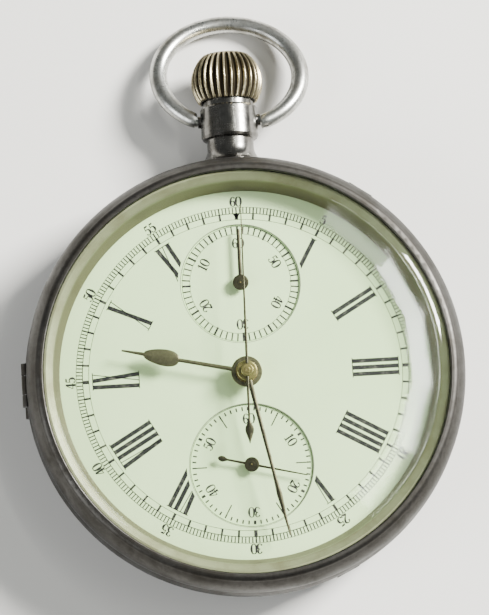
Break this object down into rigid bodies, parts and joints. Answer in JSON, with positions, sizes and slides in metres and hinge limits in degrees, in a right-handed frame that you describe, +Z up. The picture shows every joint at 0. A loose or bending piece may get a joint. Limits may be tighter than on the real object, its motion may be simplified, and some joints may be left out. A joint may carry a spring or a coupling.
{
  "type": "pocket chronograph",
  "caption": "Open-face pocket chronograph: round hinged silver case, enamel dial with small dials at top and bottom, hands, crown pusher, oval bow and complete movement inside.",
  "frame": {"origin": "middle of the flat of the back cover, on the axis of the hands", "axes": "+Z up through the dial, +Y to 12 o'clock along the stem, +X to 3 o'clock"},
  "size_m": [0.0533, 0.0726, 0.015],
  "materials": {
    "case_silver": "worn, tarnished silver",
    "neck_steel": "polished, tarnished in the corners",
    "blued_steel": "polished blued steel",
    "polished_steel": "polished steel",
    "hand_steel": "faded dark steel",
    "crown_gilt": "worn gilt",
    "gilt_ring": "pale dull gilt",
    "glass": "clear polished glass",
    "enamel": "fired vitreous enamel, pale cream green",
    "ruby": "polished ruby",
    "gilt_brass": "frosted gilt",
    "wheel_brass": "polished brass"
  },
  "bodies": {
    "case": {"mid_case": "case_silver", "pendant": "neck_steel", "pendant_screw": "blued_steel", "hinge_pins": "polished_steel", "main_plate": "gilt_brass", "barrel_bridge": "gilt_brass", "train_bridge": "gilt_brass", "chronograph_bridge": "gilt_brass", "pallet_bridge": "gilt_brass", "balance_cock": "gilt_brass", "regulator": "polished_steel", "hairspring": "polished_steel", "jewels": "ruby", "bridge_screws": "blued_steel", "case_screws": "blued_steel", "dial": "enamel", "recorder_subdial": "enamel", "seconds_subdial": "enamel", "click_spring": "polished_steel"},
    "back_cover": {"back_cover": "case_silver"},
    "cuvette": {"cuvette": "case_silver"},
    "bezel": {"bezel": "case_silver", "reflector_ring": "gilt_ring", "crystal": "glass"},
    "bow": {"bow": "neck_steel"},
    "press_sleeve": {"pendant_sleeve": "polished_steel"},
    "crown": {"crown": "crown_gilt", "winding_stem": "polished_steel"},
    "winding_pinion": {"winding_pinion": "polished_steel"},
    "sliding_pinion": {"sliding_pinion": "polished_steel"},
    "crown_wheel": {"crown_wheel": "polished_steel"},
    "ratchet": {"ratchet_wheel": "polished_steel", "barrel_arbor": "polished_steel"},
    "click": {"click": "polished_steel"},
    "fourth_wheel": {"fourth_wheel": "wheel_brass", "seconds_hand": "hand_steel"},
    "third_wheel": {"third_wheel": "wheel_brass"},
    "centre_wheel": {"centre_wheel": "wheel_brass", "cannon_pinion": "polished_steel", "minute_hand": "hand_steel"},
    "minute_wheel": {"minute_wheel": "wheel_brass"},
    "hour_wheel": {"hour_wheel": "wheel_brass", "hour_hand": "hand_steel"},
    "barrel": {"barrel": "wheel_brass", "mainspring": "polished_steel"},
    "escape_wheel": {"escape_wheel": "polished_steel"},
    "pallet_fork": {"pallet_fork": "polished_steel"},
    "balance": {"balance_wheel": "wheel_brass"},
    "chrono_runner": {"chrono_runner": "wheel_brass", "chrono_hand": "hand_steel"},
    "recorder_wheel": {"recorder_wheel": "wheel_brass", "recorder_hand": "hand_steel"},
    "column_wheel": {"column_wheel": "polished_steel"},
    "operating_lever": {"operating_lever": "polished_steel"},
    "clutch_lever": {"clutch_lever": "polished_steel"},
    "coupling_wheel": {"coupling_wheel": "wheel_brass"},
    "reset_hammer": {"reset_hammer": "polished_steel"},
    "brake_lever": {"brake_lever": "polished_steel"},
    "setting_lever": {"setting_lever": "polished_steel"},
    "yoke": {"yoke": "polished_steel"}
  },
  "joints": [
    {"name": "back_cover_hinge", "type": "hinge", "parent": "case", "child": "back_cover", "pos_m": [-0.0261, 0, 0.0034], "axis": [0, 1, 0], "range_deg": [0, 110]},
    {"name": "cuvette_hinge", "type": "hinge", "parent": "case", "child": "cuvette", "pos_m": [-0.0261, 0, 0.0034], "axis": [0, 1, 0], "range_deg": [0, 95]},
    {"name": "bezel_hinge", "type": "hinge", "parent": "case", "child": "bezel", "pos_m": [-0.02625, 0, 0.00915], "axis": [0, -1, 0], "range_deg": [0, 100]},
    {"name": "bow_swing", "type": "hinge", "parent": "case", "child": "bow", "pos_m": [0, 0.03175, 0.0056], "axis": [1, 0, 0], "range_deg": [-60, 105]},
    {"name": "crown_press", "type": "slide", "parent": "case", "child": "press_sleeve", "axis": [0, -1, 0], "range_m": [0, 0.0006], "stiffness_N_per_m": 2500},
    {"name": "crown_turn", "type": "hinge", "parent": "press_sleeve", "child": "crown", "pos_m": [0, 0.0366, 0.0056], "axis": [0, 1, 0], "continuous": true},
    {"name": "winding_pinion_turn", "type": "hinge", "parent": "case", "child": "winding_pinion", "pos_m": [0, 0.01975, 0.0056], "axis": [0, 1, 0], "continuous": true},
    {"name": "sliding_pinion_turn", "type": "hinge", "parent": "case", "child": "sliding_pinion", "pos_m": [0, 0.0175, 0.0056], "axis": [0, 1, 0], "continuous": true},
    {"name": "crown_wheel_turn", "type": "hinge", "parent": "case", "child": "crown_wheel", "pos_m": [0, 0.016, 0.0032], "axis": [0, 0, 1], "continuous": true},
    {"name": "ratchet_turn", "type": "hinge", "parent": "case", "child": "ratchet", "pos_m": [0.0069, 0.0058, 0.0032], "axis": [0, 0, 1], "continuous": true},
    {"name": "click_rock", "type": "hinge", "parent": "case", "child": "click", "pos_m": [0.01542, -0.00017, 0.0032], "axis": [0, 0, 1], "range_deg": [0, 4]},
    {"name": "running_seconds", "type": "hinge", "parent": "case", "child": "fourth_wheel", "pos_m": [0, -0.011, 0.005], "axis": [0, 0, 1], "continuous": true},
    {"name": "third_wheel_turn", "type": "hinge", "parent": "case", "child": "third_wheel", "pos_m": [0.00115, -0.00602, 0.005], "axis": [0, 0, 1], "continuous": true},
    {"name": "centre_wheel_turn", "type": "hinge", "parent": "case", "child": "centre_wheel", "pos_m": [0, 0, 0.005], "axis": [0, 0, 1], "continuous": true},
    {"name": "minute_wheel_turn", "type": "hinge", "parent": "case", "child": "minute_wheel", "pos_m": [-0.00362, 0, 0.0078], "axis": [0, 0, 1], "continuous": true},
    {"name": "hour_wheel_turn", "type": "hinge", "parent": "case", "child": "hour_wheel", "pos_m": [0, 0, 0.008], "axis": [0, 0, 1], "continuous": true},
    {"name": "barrel_turn", "type": "hinge", "parent": "case", "child": "barrel", "pos_m": [0.0069, 0.0058, 0.005], "axis": [0, 0, 1], "continuous": true},
    {"name": "escape_wheel_turn", "type": "hinge", "parent": "case", "child": "escape_wheel", "pos_m": [-0.00482, -0.0115, 0.005], "axis": [0, 0, 1], "continuous": true},
    {"name": "pallet_rock", "type": "hinge", "parent": "case", "child": "pallet_fork", "pos_m": [-0.00727, -0.00968, 0.006], "axis": [0, 0, 1], "range_deg": [-5, 5]},
    {"name": "balance_swing", "type": "hinge", "parent": "case", "child": "balance", "pos_m": [-0.0106, -0.0072, 0.005], "axis": [0, 0, 1], "range_deg": [-135, 135]},
    {"name": "chrono_seconds", "type": "hinge", "parent": "case", "child": "chrono_runner", "pos_m": [0, 0, 0.0027], "axis": [0, 0, 1], "continuous": true},
    {"name": "recorder_turn", "type": "hinge", "parent": "case", "child": "recorder_wheel", "pos_m": [0, 0.011, 0.0027], "axis": [0, 0, 1], "continuous": true},
    {"name": "column_wheel_turn", "type": "hinge", "parent": "case", "child": "column_wheel", "pos_m": [-0.0115, 0.0095, 0.0027], "axis": [0, 0, 1], "continuous": true},
    {"name": "operating_lever_swing", "type": "hinge", "parent": "case", "child": "operating_lever", "pos_m": [-0.0085, 0.016, 0.0024], "axis": [0, 0, 1], "range_deg": [0, 5]},
    {"name": "clutch_swing", "type": "hinge", "parent": "case", "child": "clutch_lever", "pos_m": [0, -0.011, 0.003], "axis": [0, 0, 1], "range_deg": [-4.5, 0]},
    {"name": "coupling_wheel_turn", "type": "hinge", "parent": "clutch_lever", "child": "coupling_wheel", "pos_m": [-0.00178, -0.00573, 0.0027], "axis": [0, 0, 1], "continuous": true},
    {"name": "hammer_swing", "type": "hinge", "parent": "case", "child": "reset_hammer", "pos_m": [-0.0062, 0.006, 0.0024], "axis": [0, 0, 1], "range_deg": [0, 2.4]},
    {"name": "brake_swing", "type": "hinge", "parent": "case", "child": "brake_lever", "pos_m": [-0.0102, 0.0016, 0.0027], "axis": [0, 0, 1], "range_deg": [0, 1.5]},
    {"name": "setting_lever_swing", "type": "hinge", "parent": "case", "child": "setting_lever", "pos_m": [0.0056, 0.0174, 0.0077], "axis": [0, 0, 1], "range_deg": [0, 6]},
    {"name": "yoke_swing", "type": "hinge", "parent": "case", "child": "yoke", "pos_m": [-0.0056, 0.0135, 0.0077], "axis": [0, 0, 1], "range_deg": [-4, 0]}
  ],
  "couplings": [
    {"joint": "cuvette_hinge", "follows": "back_cover_hinge", "ratio": 0.85},
    {"joint": "winding_pinion_turn", "follows": "crown_turn", "ratio": 1},
    {"joint": "sliding_pinion_turn", "follows": "crown_turn", "ratio": 1},
    {"joint": "crown_wheel_turn", "follows": "crown_turn", "ratio": 0.47059},
    {"joint": "ratchet_turn", "follows": "crown_turn", "ratio": -0.25},
    {"joint": "third_wheel_turn", "follows": "running_seconds", "ratio": -0.13333},
    {"joint": "centre_wheel_turn", "follows": "running_seconds", "ratio": 0.016667},
    {"joint": "minute_wheel_turn", "follows": "running_seconds", "ratio": -0.0055556},
    {"joint": "hour_wheel_turn", "follows": "running_seconds", "ratio": 0.0013889},
    {"joint": "barrel_turn", "follows": "running_seconds", "ratio": -0.0020833},
    {"joint": "escape_wheel_turn", "follows": "running_seconds", "ratio": -10},
    {"joint": "coupling_wheel_turn", "follows": "running_seconds", "ratio": -3.1111},
    {"joint": "recorder_turn", "follows": "chrono_seconds", "ratio": -0.016667},
    {"joint": "operating_lever_swing", "follows": "crown_press", "rad_per_m": 130.9},
    {"joint": "yoke_swing", "follows": "setting_lever_swing", "ratio": -0.6}
  ]
}
